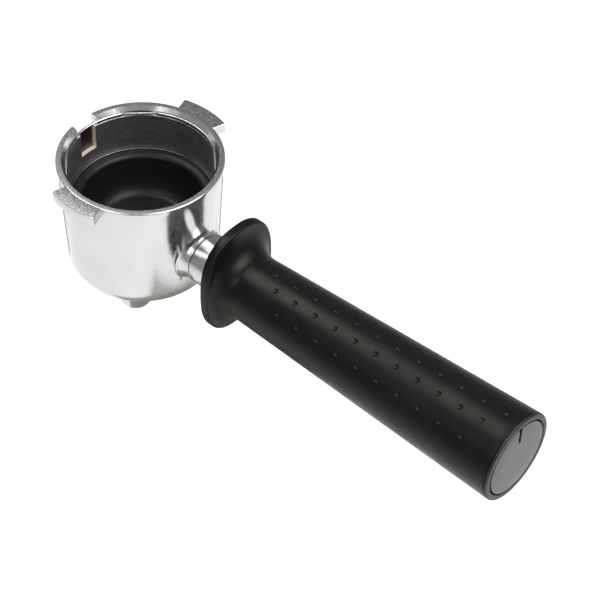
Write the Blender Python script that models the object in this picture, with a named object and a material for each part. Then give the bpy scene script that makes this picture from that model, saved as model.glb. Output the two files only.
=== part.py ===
"""Portafilter for a 54 mm group: chromed cup with two locking lugs, a bowl insert that
lifts out, a twin spout, and a soft-touch handle with an oval guard flange.

Frame: metres, +Z up along the cup's axis, the handle along +X, the lugs at -Y and +Y.
The origin is the centre of the rim's top face, where the cup seals against its group.
"""

from math import asin, atan2, cos, pi, radians, sin, sqrt

import bmesh
import bpy
from mathutils import Matrix, Vector

MM = 0.001

# Clearances between separate pieces.
GAP = 0.3 * MM                  # between faces that rest on each other
SLIP = 0.4 * MM                 # round a piece that lifts out or slides in

# Cup.
BORE_RADIUS = 28.4 * MM         # where the filter basket goes
RIM_WALL = 3.6 * MM
RIM_BAND = 2.4 * MM             # height of the proud band round the rim
RIM_BEVEL = 0.6 * MM
BAND_STEP = 0.5 * MM            # how far the band stands proud of the wall
BORE_CHAMFER = 1.4 * MM
CUP_DEPTH = 52.3 * MM
CUP_DRAFT = 1.9 * MM            # how much narrower the wall is above its lower corner
CUP_CORNER = 7.6 * MM
FLOOR = 3.0 * MM
BASKET_DEPTH = 19.9 * MM        # rim to the bright step above the insert
INSERT_SEAT = 1.0 * MM          # width of that step
LEDGE_DROP = 3.4 * MM           # step to the ledge that carries the insert
LEDGE = 1.6 * MM                # width of that ledge
WELL_CORNER = 7.0 * MM

# Locking lugs.
LUG_REACH = 5.35 * MM           # how far a lug stands out of the rim
LUG_HALF_ANGLE = radians(16.8)
LUG_HEIGHT = 4.6 * MM
LUG_BEVEL = 0.5 * MM
LUG_UNDERCUT = 1.3 * MM         # rounding along the lower edge
LUG_LINE = 0.12 * MM            # step between the rim's face and a lug's

# Retaining spring and its groove.
WIRE = 1.25 * MM
GROOVE_HEIGHT = 2.1 * MM
GROOVE_TOP = 1.7 * MM           # below the rim
FLAT_REACH = 0.8 * MM           # how far the wire's flats stand into the bore
WIRE_GAP_ANGLE = radians(7.0)

# Notch across the rim, opposite the handle, and the pocket below it.
NOTCH_WIDTH = 9.7 * MM
POCKET_WIDTH = 7.8 * MM
POCKET_DEPTH = 1.7 * MM
POCKET_HEIGHT = 12.0 * MM

# Boss, pilaster and collar that join the cup to the handle.
HANDLE_DROP = 31.2 * MM         # handle axis below the rim
BOSS_RADIUS = 9.8 * MM
BOSS_PROUD = 0.3 * MM           # boss's end face beyond the rim band
PILASTER_PROUD = 0.2 * MM       # pilaster's face beyond the rim band, at its middle
PILASTER_TOP_WIDTH = 27.0 * MM
PILASTER_LOW_WIDTH = 22.6 * MM
PILASTER_ROOT = 1.0 * MM        # depth of the pilaster's back inside the wall
GASKET = 0.8 * MM
GASKET_RECESS = 0.6 * MM
COLLAR_LENGTH = 12.8 * MM
COLLAR_RADIUS = 10.1 * MM
COLLAR_FLARE = 0.6 * MM

# Grip.
GUARD_HALF_WIDTH = 18.2 * MM
GUARD_HALF_HEIGHT = 23.3 * MM
GUARD_POWER = 2.5               # 2 is an ellipse, more is squarer
GUARD_RAISE = 1.8 * MM          # centre of the guard above the handle's axis
GUARD_THICK = 4.0 * MM
GUARD_EDGE = 0.9 * MM
GUARD_FILLET = 8.0 * MM
GRIP_LENGTH = 131.6 * MM
GRIP_START_RADIUS = 12.9 * MM
GRIP_END_RADIUS = 17.75 * MM
SLEEVE_WALL = 2.3 * MM

# Stud and what clamps the core on it.
STUD_RADIUS = 4.0 * MM
STUD_REACH = 5.4 * MM           # into the boss
STUD_HOLE = 0.35 * MM           # radial clearance round the stud
NUT_SHOULDER = 85.0 * MM        # grip's front face to the shoulder in the core
NUT_WALL = 2.5 * MM             # nut's flats beyond the stud
NUT_THICK = 6.5 * MM
WASHER_WIDTH = 4.5 * MM         # washer's edge beyond the stud
WASHER_THICK = 1.6 * MM
TOOL_ROOM = 1.1 * MM            # core's bore beyond the washer
LOCK_WIDTH = 2.8 * MM           # lock washer's edge beyond the stud
LOCK_THICK = 2.0 * MM
LOCK_SPLIT = 1.6 * MM
PIN_RADIUS = 1.25 * MM
PIN_LENGTH = 8.0 * MM
PIN_WEB = 0.8 * MM              # material between the stud's hole and the pin's

# Handle end.
PLUG_LENGTH = 14.0 * MM
PLUG_RADIUS = 11.6 * MM
PLUG_WALL = 2.4 * MM
PLUG_FLANGE = 2.7 * MM
SEAL_WIRE = 1.8 * MM
RING_THICK = 1.8 * MM
RING_SKIRT = 3.6 * MM
RING_SKIRT_WALL = 0.6 * MM
RING_LAND = 2.65 * MM           # width of the end ring's face
DISC_PROUD = 0.6 * MM
DISC_NOTCH = 6.4 * MM
DISC_NOTCH_WIDTH = 1.3 * MM

# Bowl insert.
INSERT_FLANGE = 1.6 * MM
INSERT_WALL = 1.9 * MM
INSERT_RAISE = 10.8 * MM        # underside of the bowl above the cup's floor
INSERT_FLOOR_RADIUS = 16.8 * MM
DRAIN_RADIUS = 3.0 * MM
DRAIN_WALL = 1.6 * MM
INSERT_SEAL = 0.9 * MM

# Spout.
SPOUT_SPREAD = 5.6 * MM         # each nozzle's axis from the cup's
NOZZLE_RADIUS = 5.85 * MM
NOZZLE_TAPER = 0.6 * MM
NOZZLE_BORE = 3.5 * MM
SPOUT_HEIGHT = 18.3 * MM
SPOUT_FLANGE_RADIUS = 9.6 * MM
SPOUT_FLANGE = 3.2 * MM
SPOUT_SEAL = 0.8 * MM
SCREW_RADIUS = 3.9 * MM
SCREW_BORE = 2.3 * MM
SCREW_HEAD_RADIUS = 6.6 * MM
SCREW_HEAD = 2.4 * MM
SCREW_REACH = 6.0 * MM          # below the spout's top face
SCREW_SLOT = 1.6 * MM

# Levels and places that follow from the sizes above.
RIM_RADIUS = BORE_RADIUS + RIM_WALL
BOSS_END = RIM_RADIUS + BOSS_PROUD
WALL_TOP_RADIUS = RIM_RADIUS - BAND_STEP
WALL_LOW_RADIUS = WALL_TOP_RADIUS - CUP_DRAFT
SEAT_RADIUS = BORE_RADIUS - INSERT_SEAT
LEDGE_Z = -BASKET_DEPTH - LEDGE_DROP
WELL_RADIUS = SEAT_RADIUS - LEDGE
WELL_FLOOR_Z = FLOOR - CUP_DEPTH
GROOVE_MID_Z = -GROOVE_TOP - GROOVE_HEIGHT / 2
WIRE_RING_RADIUS = BORE_RADIUS + WIRE * 0.44
GROOVE_RADIUS = WIRE_RING_RADIUS + WIRE / 2 + GAP
HANDLE_Z = -HANDLE_DROP
COLLAR_X = BOSS_END + GASKET + 2 * GAP
GRIP_X = COLLAR_X + COLLAR_LENGTH + GAP
GRIP_END_X = GRIP_X + GRIP_LENGTH
SHOULDER_X = GRIP_X + NUT_SHOULDER
CORE_X = GRIP_X
CORE_END_X = GRIP_END_X - RING_SKIRT - 2 * GAP
PLUG_FACE_X = CORE_END_X + GAP + PLUG_FLANGE
RING_FACE_X = GRIP_END_X + GAP + RING_THICK
STUD_BORE = STUD_RADIUS + STUD_HOLE
PIN_BORE = PIN_RADIUS + GAP
PIN_OFFSET = STUD_BORE + PIN_WEB + PIN_BORE
WASHER_RADIUS = STUD_RADIUS + WASHER_WIDTH
LOCK_RADIUS = STUD_RADIUS + LOCK_WIDTH
NUT_ACROSS = 2 * (STUD_RADIUS + NUT_WALL)
NUT_ROOM = WASHER_RADIUS + TOOL_ROOM
DISC_RADIUS = GRIP_END_RADIUS - RING_LAND
FLOOR_HOLE = SCREW_RADIUS + SLIP
SPOUT_TOP_Z = -CUP_DEPTH - SPOUT_SEAL - 2 * GAP
SPOUT_TIP_Z = SPOUT_TOP_Z - SPOUT_HEIGHT
INSERT_TOP_Z = LEDGE_Z + 2 * GAP + INSERT_SEAL + INSERT_FLANGE
INSERT_RADIUS = SEAT_RADIUS - SLIP
HANDLE_TURN = Matrix.Translation((0, 0, HANDLE_Z))


# ---- modelling tools -------------------------------------------------------------------

def clear_scene():
    for old in list(bpy.data.objects):
        bpy.data.objects.remove(old, do_unlink=True)


def material(name, colour, roughness, metallic):
    made = bpy.data.materials.new(name)
    made.use_nodes = True
    shader = made.node_tree.nodes["Principled BSDF"]
    shader.inputs["Base Color"].default_value = (*colour, 1.0)
    shader.inputs["Roughness"].default_value = roughness
    shader.inputs["Metallic"].default_value = metallic
    made.diffuse_color = (*colour, 1.0)
    return made


def make_object(name, mesh_data, finish, origin=(0, 0, 0), smooth=True):
    """A closed bmesh as a named object, with its origin where its maker wants it."""
    bmesh.ops.remove_doubles(mesh_data, verts=mesh_data.verts, dist=1e-7)
    bmesh.ops.recalc_face_normals(mesh_data, faces=mesh_data.faces)
    mesh = bpy.data.meshes.new(name)
    mesh_data.to_mesh(mesh)
    mesh_data.free()
    mesh.transform(Matrix.Translation(-Vector(origin)))
    if smooth:
        mesh.shade_smooth()
        mesh.set_sharp_from_angle(angle=radians(35))
    made = bpy.data.objects.new(name, mesh)
    made.location = origin
    bpy.context.scene.collection.objects.link(made)
    if finish is not None:
        mesh.materials.append(finish)
    return made


def spin_outline(outline, steps, along_x=False):
    """Turn a closed outline of (distance along the axis, radius) points round Z or X."""
    turned = bmesh.new()
    if along_x:
        places = [(reach, 0, radius) for reach, radius in outline]
    else:
        places = [(radius, 0, reach) for reach, radius in outline]
    points = [turned.verts.new(place) for place in places]
    edges = [turned.edges.new((points[i - 1], points[i])) for i in range(len(points))]
    bmesh.ops.spin(turned, geom=points + edges, cent=(0, 0, 0),
                   axis=(1, 0, 0) if along_x else (0, 0, 1),
                   angle=2 * pi, steps=steps, use_merge=True)
    return turned


def turned_z(name, outline, finish, steps=40, origin=(0, 0, 0)):
    """A piece turned round the cup's axis."""
    return make_object(name, spin_outline(outline, steps), finish, origin)


def turned_x(name, outline, finish, steps=32, origin=None):
    """A piece turned round the handle's axis."""
    turned = spin_outline(outline, steps, along_x=True)
    turned.transform(HANDLE_TURN)
    return make_object(name, turned, finish, origin or (outline[0][0], 0, HANDLE_Z))


def loft(sections, closed=False):
    """Skin a run of equal-length point rings; a closed run ends where it starts."""
    skin = bmesh.new()
    rings = [[skin.verts.new(point) for point in section] for section in sections]
    pairs = list(zip(rings, rings[1:]))
    if closed:
        pairs.append((rings[-1], rings[0]))
    else:
        skin.faces.new(rings[0])
        skin.faces.new(list(reversed(rings[-1])))
    for ring, following in pairs:
        for i in range(len(ring)):
            skin.faces.new((ring[i - 1], ring[i], following[i], following[i - 1]))
    return skin


def arc(centre, radius, start, end, steps):
    """Points of an arc in an outline's own plane, angles in radians."""
    return [(centre[0] + radius * sin(start + (end - start) * i / steps),
             centre[1] + radius * cos(start + (end - start) * i / steps))
            for i in range(steps + 1)]


def block(low, high):
    """A box between two corners, for cutting."""
    box = bmesh.new()
    bmesh.ops.create_cube(box, size=1.0)
    size = [high[i] - low[i] for i in range(3)]
    centre = [(high[i] + low[i]) / 2 for i in range(3)]
    box.transform(Matrix.Translation(centre) @ Matrix.Diagonal((*size, 1)))
    return box


def helper(name, mesh_data):
    """A solid that only shapes another one, and is not a piece itself."""
    made = make_object(name, mesh_data, None, smooth=False)
    made.hide_render = True
    made.display_type = "WIRE"
    return made


def shape_with(target, other, operation):
    step = target.modifiers.new(other.name, "BOOLEAN")
    step.operation = operation
    step.solver = "EXACT"
    step.object = other


def round_bar(start, end, radius, steps, along_x):
    """A plain bar along an axis, for drilling and for bosses."""
    outline = [(start, 0), (start, radius), (end, radius), (end, 0)]
    return spin_outline(outline, steps, along_x)


# ---- cup ---------------------------------------------------------------------------------

def wall_radius(z):
    """Radius of the cup's drafted outer wall at a level above its lower corner."""
    share = (-z - RIM_BAND) / (CUP_DEPTH - CUP_CORNER - RIM_BAND)
    return WALL_TOP_RADIUS - CUP_DRAFT * share


def cup_outline():
    """Section of the cup, from the rim's outer edge down and back up the inside."""
    corner_z = CUP_CORNER - CUP_DEPTH
    outline = [(0, RIM_RADIUS - RIM_BEVEL), (-RIM_BEVEL, RIM_RADIUS),
               (-RIM_BAND, RIM_RADIUS), (-RIM_BAND - BAND_STEP, wall_radius(-RIM_BAND))]
    outline += [(corner_z, WALL_LOW_RADIUS)]
    outline += arc((corner_z, WALL_LOW_RADIUS - CUP_CORNER), CUP_CORNER, 0, -pi / 2, 5)[1:]
    outline += [(-CUP_DEPTH, FLOOR_HOLE), (WELL_FLOOR_Z, FLOOR_HOLE)]
    well_corner_z = WELL_FLOOR_Z + WELL_CORNER
    outline += arc((well_corner_z, WELL_RADIUS - WELL_CORNER), WELL_CORNER, -pi / 2, 0, 3)
    outline += [(LEDGE_Z, WELL_RADIUS), (LEDGE_Z, SEAT_RADIUS),
                (-BASKET_DEPTH, SEAT_RADIUS), (-BASKET_DEPTH, BORE_RADIUS),
                (-GROOVE_TOP - GROOVE_HEIGHT, BORE_RADIUS),
                (-GROOVE_TOP - GROOVE_HEIGHT, GROOVE_RADIUS),
                (-GROOVE_TOP, GROOVE_RADIUS), (-GROOVE_TOP, BORE_RADIUS + GAP),
                (0, BORE_RADIUS + BORE_CHAMFER)]
    return outline


def lug_section(middle, inset, z, steps=8):
    """Outline of a lug at one level: an arc outside, and a straight root in the rim."""
    reach = RIM_RADIUS + LUG_REACH - inset
    half = LUG_HALF_ANGLE - inset / reach
    root = (RIM_RADIUS + GROOVE_RADIUS) / 2
    angles = [middle - half + 2 * half * i / steps for i in range(steps + 1)]
    outer = [(reach * cos(a), reach * sin(a), z) for a in angles]
    inner = [(root * cos(a), root * sin(a), z) for a in reversed(angles)]
    return outer + inner


def lug(middle):
    levels = [(-LUG_LINE, LUG_BEVEL), (-LUG_LINE - LUG_BEVEL, 0),
              (LUG_UNDERCUT - LUG_HEIGHT, 0),
              (0.3 * LUG_UNDERCUT - LUG_HEIGHT, 0.3 * LUG_UNDERCUT),
              (-LUG_HEIGHT, LUG_UNDERCUT)]
    return loft([lug_section(middle, inset, z) for z, inset in levels])


def pilaster_section(z, width, steps=20):
    """A round-fronted column: its face at +X and where it meets the cup's wall."""
    front = RIM_RADIUS + PILASTER_PROUD
    half = width / 2
    edge_x = sqrt(wall_radius(z) ** 2 - half ** 2)
    centre = (front ** 2 - edge_x ** 2 - half ** 2) / (2 * (front - edge_x))
    radius = front - centre
    spread = atan2(half, edge_x - centre) + radians(8)
    angles = [-spread + 2 * spread * i / steps for i in range(steps + 1)]
    face = [(centre + radius * cos(a), radius * sin(a), z) for a in angles]
    root_radius = wall_radius(z) - PILASTER_ROOT
    root_half = asin(face[-1][1] / root_radius)
    roots = [root_half - 2 * root_half * i / steps for i in range(steps + 1)]
    return face + [(root_radius * cos(a), root_radius * sin(a), z) for a in roots]


def add_cup(finish):
    cup = turned_z("cup_body", cup_outline(), finish, steps=56)
    for side, middle in (("left", pi / 2), ("right", -pi / 2)):
        shape_with(cup, helper("lug_" + side, lug(middle)), "UNION")
    column = loft([pilaster_section(-RIM_BAND - BAND_STEP / 2, PILASTER_TOP_WIDTH),
                   pilaster_section(HANDLE_Z, PILASTER_LOW_WIDTH)])
    shape_with(cup, helper("pilaster", column), "UNION")
    boss = round_bar(SEAT_RADIUS + BAND_STEP, BOSS_END, BOSS_RADIUS, 32, True)
    boss.transform(HANDLE_TURN)
    shape_with(cup, helper("boss", boss), "UNION")

    far = RIM_RADIUS + LUG_REACH
    notch = block((-far, -NOTCH_WIDTH / 2, -GROOVE_TOP - GROOVE_HEIGHT - GAP / 2),
                  (-BORE_RADIUS / 2, NOTCH_WIDTH / 2, far))
    shape_with(cup, helper("notch_cut", notch), "DIFFERENCE")
    pocket_top = -GROOVE_TOP - GROOVE_HEIGHT / 2
    pocket = block((-BORE_RADIUS - POCKET_DEPTH, -POCKET_WIDTH / 2,
                    pocket_top - POCKET_HEIGHT),
                   (-BORE_RADIUS / 2, POCKET_WIDTH / 2, pocket_top))
    shape_with(cup, helper("pocket_cut", pocket), "DIFFERENCE")
    socket = round_bar(BOSS_END - STUD_REACH - GAP, BOSS_END + FLOOR,
                       STUD_BORE, 24, True)
    socket.transform(HANDLE_TURN)
    shape_with(cup, helper("stud_socket_cut", socket), "DIFFERENCE")
    pin_hole = round_bar(BOSS_END - PIN_LENGTH / 2 - GAP, BOSS_END + FLOOR,
                         PIN_BORE, 12, True)
    pin_hole.transform(Matrix.Translation((0, 0, HANDLE_Z + PIN_OFFSET)))
    shape_with(cup, helper("pin_hole_cut", pin_hole), "DIFFERENCE")
    return cup


def add_spring(finish, sides=6, steps=72):
    """Wire ring with four straight flats that stand into the bore."""
    flat_distance = BORE_RADIUS - FLAT_REACH + WIRE / 2
    flats = [radians(45 + 90 * i) for i in range(4)]
    rings = []
    for i in range(steps + 1):
        angle = WIRE_GAP_ANGLE / 2 + (2 * pi - WIRE_GAP_ANGLE) * i / steps
        nearest = min(abs((angle - flat + pi) % (2 * pi) - pi) for flat in flats)
        radius = min(WIRE_RING_RADIUS, flat_distance / cos(nearest))
        ring = []
        for j in range(sides):
            turn = 2 * pi * j / sides
            reach = radius + WIRE / 2 * cos(turn)
            ring.append((reach * cos(angle), reach * sin(angle),
                         GROOVE_MID_Z + WIRE / 2 * sin(turn)))
        rings.append(ring)
    return make_object("retaining_spring", loft(rings), finish,
                       origin=(0, 0, GROOVE_MID_Z))


# ---- bowl insert, which lifts out ----------------------------------------------------------

def add_insert(bowl_finish, seal_finish):
    under_z = WELL_FLOOR_Z + INSERT_RAISE
    floor_z = under_z + INSERT_WALL
    flange_z = INSERT_TOP_Z - INSERT_FLANGE
    lip_radius = WELL_RADIUS - SLIP - INSERT_WALL
    rise = INSERT_TOP_Z - floor_z
    run = lip_radius - INSERT_FLOOR_RADIUS
    drain_end_z = WELL_FLOOR_Z + SCREW_HEAD + 3 * GAP
    inner = [(floor_z + rise * (1 - cos(pi / 2 * i / 4)),
              INSERT_FLOOR_RADIUS + run * sin(pi / 2 * i / 4)) for i in range(5)]
    outer = [(under_z + (flange_z - under_z) * (1 - cos(pi / 2 * i / 4)),
              INSERT_FLOOR_RADIUS + (run + INSERT_WALL) * sin(pi / 2 * i / 4))
             for i in range(5)]
    outline = [(floor_z, DRAIN_RADIUS)] + inner
    outline += [(INSERT_TOP_Z, INSERT_RADIUS), (flange_z, INSERT_RADIUS)]
    outline += list(reversed(outer))
    outline += [(under_z, DRAIN_RADIUS + DRAIN_WALL), (drain_end_z, DRAIN_RADIUS + DRAIN_WALL),
                (drain_end_z, DRAIN_RADIUS)]
    bowl = turned_z("bowl_insert", outline, bowl_finish, origin=(0, 0, flange_z))

    seal_top = flange_z - GAP
    seal = [(seal_top, INSERT_RADIUS), (seal_top - INSERT_SEAL, INSERT_RADIUS),
            (seal_top - INSERT_SEAL, WELL_RADIUS + SLIP / 2), (seal_top, WELL_RADIUS + SLIP / 2)]
    turned_z("insert_seal", seal, seal_finish, steps=32, origin=(0, 0, flange_z))
    return bowl


# ---- spout -----------------------------------------------------------------------------------

def add_spout(chrome, steel, rubber):
    seal_top = -CUP_DEPTH - GAP
    seal = [(seal_top, SPOUT_FLANGE_RADIUS - GAP),
            (seal_top - SPOUT_SEAL, SPOUT_FLANGE_RADIUS - GAP),
            (seal_top - SPOUT_SEAL, FLOOR_HOLE), (seal_top, FLOOR_HOLE)]
    turned_z("spout_seal", seal, rubber, steps=32)

    screw_hole = SCREW_RADIUS + GAP
    chamber_z = SPOUT_TOP_Z - SCREW_REACH - 2 * GAP
    flange = [(SPOUT_TOP_Z, screw_hole), (SPOUT_TOP_Z, SPOUT_FLANGE_RADIUS),
              (SPOUT_TOP_Z - SPOUT_FLANGE, SPOUT_FLANGE_RADIUS),
              (SPOUT_TOP_Z - 1.6 * SPOUT_FLANGE, NOZZLE_RADIUS + NOZZLE_TAPER),
              (chamber_z, NOZZLE_RADIUS), (chamber_z, screw_hole)]
    spout = turned_z("twin_spout", flange, chrome, steps=32)
    for side, sign in (("left", 1), ("right", -1)):
        place = Matrix.Translation((0, sign * SPOUT_SPREAD, 0))
        nozzle = spin_outline([(SPOUT_TOP_Z - SPOUT_FLANGE / 2, 0),
                               (SPOUT_TOP_Z - SPOUT_FLANGE / 2, NOZZLE_RADIUS + NOZZLE_TAPER),
                               (SPOUT_TIP_Z, NOZZLE_RADIUS), (SPOUT_TIP_Z, 0)], 24)
        nozzle.transform(place)
        shape_with(spout, helper("nozzle_" + side, nozzle), "UNION")
    for side, sign in (("left", 1), ("right", -1)):
        bore = round_bar(SPOUT_TOP_Z - SPOUT_FLANGE, SPOUT_TIP_Z - FLOOR, NOZZLE_BORE, 16, False)
        bore.transform(Matrix.Translation((0, sign * SPOUT_SPREAD, 0)))
        shape_with(spout, helper("nozzle_bore_" + side, bore), "DIFFERENCE")
    channel = round_bar(SPOUT_TOP_Z + FLOOR, chamber_z, screw_hole, 32, False)
    shape_with(spout, helper("spout_channel_cut", channel), "DIFFERENCE")

    head_z = WELL_FLOOR_Z + GAP
    screw = turned_z("spout_screw",
                     [(head_z + SCREW_HEAD, SCREW_BORE), (head_z + SCREW_HEAD, SCREW_HEAD_RADIUS),
                      (head_z, SCREW_HEAD_RADIUS), (head_z, SCREW_RADIUS),
                      (SPOUT_TOP_Z - SCREW_REACH, SCREW_RADIUS),
                      (SPOUT_TOP_Z - SCREW_REACH, SCREW_BORE)], steel, steps=32)
    slot = block((-2 * SCREW_HEAD_RADIUS, -SCREW_SLOT / 2, head_z + SCREW_HEAD / 2),
                 (2 * SCREW_HEAD_RADIUS, SCREW_SLOT / 2, head_z + 2 * SCREW_HEAD))
    shape_with(screw, helper("screw_slot_cut", slot), "DIFFERENCE")
    return spout


# ---- neck --------------------------------------------------------------------------------------

def drill_pin_hole(piece, start, end):
    """The locating pin's hole through a piece of the neck."""
    hole = round_bar(start, end, PIN_BORE, 12, True)
    hole.transform(Matrix.Translation((0, 0, HANDLE_Z + PIN_OFFSET)))
    shape_with(piece, helper(piece.name + "_pin_cut", hole), "DIFFERENCE")


def add_neck(chrome, steel, rubber):
    gasket_x = BOSS_END + GAP
    gasket = turned_x("neck_gasket",
                      [(gasket_x, STUD_BORE), (gasket_x, BOSS_RADIUS - GASKET_RECESS),
                       (gasket_x + GASKET, BOSS_RADIUS - GASKET_RECESS),
                       (gasket_x + GASKET, STUD_BORE)], rubber)
    drill_pin_hole(gasket, gasket_x - FLOOR, gasket_x + GASKET + FLOOR)
    end_x = COLLAR_X + COLLAR_LENGTH
    lip = GASKET_RECESS / 2
    collar = turned_x("neck_collar",
                      [(COLLAR_X, STUD_BORE), (COLLAR_X, COLLAR_RADIUS - lip),
                       (COLLAR_X + lip, COLLAR_RADIUS), (end_x, COLLAR_RADIUS + COLLAR_FLARE),
                       (end_x, STUD_BORE)], chrome)
    drill_pin_hole(collar, COLLAR_X - FLOOR, COLLAR_X + PIN_LENGTH / 2)

    pin_start = BOSS_END - PIN_LENGTH / 2
    pin = round_bar(pin_start, pin_start + PIN_LENGTH, PIN_RADIUS, 12, True)
    pin.transform(Matrix.Translation((0, 0, HANDLE_Z + PIN_OFFSET)))
    make_object("locating_pin", pin, steel, origin=(pin_start, 0, HANDLE_Z + PIN_OFFSET))

    stud_start = BOSS_END - STUD_REACH
    stud_end = SHOULDER_X + WASHER_THICK + LOCK_THICK + NUT_THICK + 3 * GAP + LOCK_THICK
    point = STUD_RADIUS / 6
    turned_x("handle_stud",
             [(stud_start, 0), (stud_start, STUD_RADIUS - point),
              (stud_start + point, STUD_RADIUS), (stud_end - point, STUD_RADIUS),
              (stud_end, STUD_RADIUS - point), (stud_end, 0)], steel, steps=24)


# ---- grip ----------------------------------------------------------------------------------------

def grip_radius(x):
    """Outer radius of the tapered grip."""
    share = (x - GRIP_X) / GRIP_LENGTH
    return GRIP_START_RADIUS + (GRIP_END_RADIUS - GRIP_START_RADIUS) * share


def core_radius(x):
    return grip_radius(x) - SLEEVE_WALL - GAP


def oval_ring(x, shrink, blend, steps=40):
    """Ring round the handle's axis, from the guard's oval (blend 0) to round (blend 1)."""
    ring = []
    for i in range(steps):
        angle = 2 * pi * i / steps
        across, up = cos(angle), sin(angle)
        half_w = GUARD_HALF_WIDTH - shrink
        half_h = GUARD_HALF_HEIGHT - shrink
        stretch = (abs(across / half_w) ** GUARD_POWER
                   + abs(up / half_h) ** GUARD_POWER) ** (-1 / GUARD_POWER)
        oval = Vector((across * stretch, up * stretch + GUARD_RAISE))
        circle = Vector((across, up)) * grip_radius(x)
        place = oval.lerp(circle, blend)
        ring.append((x, place.x, HANDLE_Z + place.y))
    return ring


def round_ring(x, radius, steps=40):
    return [(x, radius * cos(2 * pi * i / steps), HANDLE_Z + radius * sin(2 * pi * i / steps))
            for i in range(steps)]


def add_grip(rubber, plastic):
    edge = GUARD_EDGE
    back_x = GRIP_X + GUARD_THICK
    rings = [oval_ring(GRIP_X, edge, 0), oval_ring(GRIP_X + edge, 0, 0),
             oval_ring(back_x - edge, 0, 0), oval_ring(back_x, edge, 0)]
    fillet_steps = 5
    for i in range(1, fillet_steps + 1):
        turn = pi / 2 * i / fillet_steps
        rings.append(oval_ring(back_x + GUARD_FILLET * (1 - cos(turn)), edge, sin(turn)))
    end_edge = edge / 2
    rings += [round_ring(GRIP_END_X - end_edge, GRIP_END_RADIUS),
              round_ring(GRIP_END_X, GRIP_END_RADIUS - end_edge)]
    skirt_room = DISC_RADIUS + RING_SKIRT_WALL + 2 * GAP
    rings += [round_ring(GRIP_END_X, skirt_room), round_ring(CORE_END_X, skirt_room),
              round_ring(CORE_END_X, core_radius(CORE_END_X) + GAP),
              round_ring(GRIP_X, core_radius(GRIP_X) + GAP)]
    make_object("grip_sleeve", loft(rings, closed=True), rubber, origin=(GRIP_X, 0, HANDLE_Z))

    plug_room = PLUG_RADIUS + SLIP
    plug_start_x = CORE_END_X - PLUG_LENGTH - 2 * GAP
    turned_x("grip_core",
             [(CORE_X, STUD_BORE), (CORE_X, core_radius(CORE_X)),
              (CORE_END_X, core_radius(CORE_END_X)), (CORE_END_X, plug_room),
              (plug_start_x, plug_room), (plug_start_x, NUT_ROOM), (SHOULDER_X, NUT_ROOM),
              (SHOULDER_X, STUD_BORE)], plastic)


def add_clamp(steel):
    """Washer, split lock washer and nut on the stud, against the core's shoulder."""
    washer_x = SHOULDER_X + GAP
    turned_x("stud_washer",
             [(washer_x, STUD_BORE), (washer_x, WASHER_RADIUS),
              (washer_x + WASHER_THICK, WASHER_RADIUS), (washer_x + WASHER_THICK, STUD_BORE)],
             steel, steps=32)
    lock_x = washer_x + WASHER_THICK + GAP
    lock = turned_x("lock_washer",
                    [(lock_x, STUD_BORE), (lock_x, LOCK_RADIUS), (lock_x + LOCK_THICK, LOCK_RADIUS),
                     (lock_x + LOCK_THICK, STUD_BORE)], steel, steps=32)
    split = block((lock_x - LOCK_THICK, -LOCK_SPLIT / 2, HANDLE_Z),
                  (lock_x + 2 * LOCK_THICK, LOCK_SPLIT / 2, HANDLE_Z + 2 * LOCK_RADIUS))
    shape_with(lock, helper("lock_split_cut", split), "DIFFERENCE")

    nut_x = lock_x + LOCK_THICK + GAP
    corner = NUT_ACROSS / 2 / cos(pi / 6)
    nut = loft([[(x, reach * cos(pi / 3 * i), HANDLE_Z + reach * sin(pi / 3 * i))
                 for i in range(6)]
                for x, reach in ((nut_x, corner), (nut_x + NUT_THICK, corner))])
    made = make_object("stud_nut", nut, steel, origin=(nut_x, 0, HANDLE_Z), smooth=False)
    bore = round_bar(nut_x - LOCK_THICK, nut_x + NUT_THICK + LOCK_THICK, STUD_BORE, 24, True)
    bore.transform(HANDLE_TURN)
    shape_with(made, helper("nut_bore_cut", bore), "DIFFERENCE")


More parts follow.
